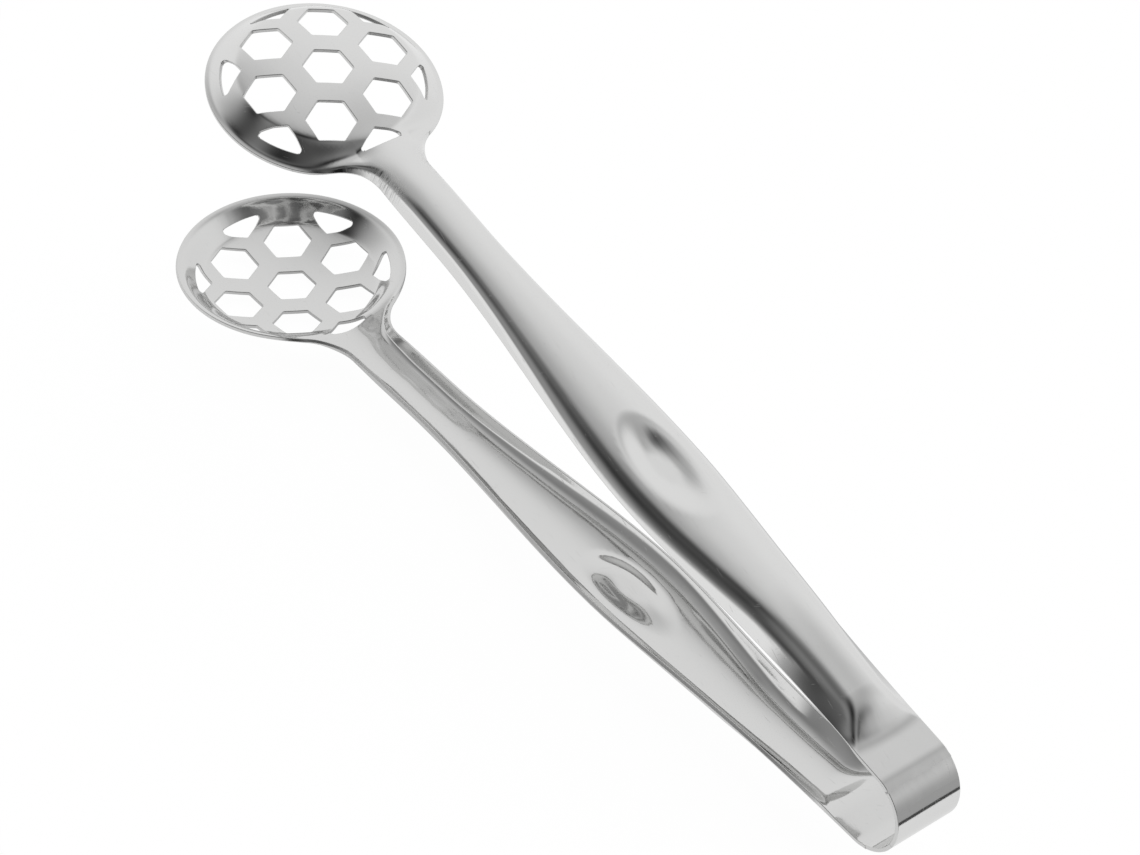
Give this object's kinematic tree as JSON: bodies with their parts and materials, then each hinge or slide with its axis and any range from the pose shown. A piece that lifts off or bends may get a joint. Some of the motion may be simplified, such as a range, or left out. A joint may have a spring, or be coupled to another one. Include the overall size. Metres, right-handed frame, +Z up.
{
  "type": "steak tongs",
  "caption": "Sprung one-strip steak tongs: two pressed channel arms with thumb dimples and dished heads punched with a honeycomb, joined by a round spring bow.",
  "frame": {"origin": "centre of the base of the bounding box, on the surface that the lower arm lies on", "axes": "+X from the heads towards the spring bow, +Y across the strip, +Z up from the lower arm to the upper arm"},
  "size_m": [0.2376, 0.0564, 0.0711],
  "materials": {
    "bow_steel": "polished",
    "upper_arm_steel": "polished",
    "lower_arm_steel": "polished"
  },
  "bodies": {
    "spring_bow": {"spring_bow": "bow_steel"},
    "upper_arm": {"upper_arm": "upper_arm_steel"},
    "lower_arm": {"lower_arm": "lower_arm_steel"}
  },
  "joints": [
    {"name": "upper_flex", "type": "hinge", "parent": "spring_bow", "child": "upper_arm", "pos_m": [0.11171, 0, 0.0254], "axis": [0, -1, 0], "range_deg": [-2, 7.35], "stiffness_Nm_per_rad": 8},
    {"name": "lower_flex", "type": "hinge", "parent": "spring_bow", "child": "lower_arm", "pos_m": [0.10968, 0, 0.00472], "axis": [0, 1, 0], "range_deg": [-2, 7.35], "stiffness_Nm_per_rad": 8}
  ],
  "couplings": [
    {"joint": "lower_flex", "follows": "upper_flex", "ratio": 1}
  ]
}
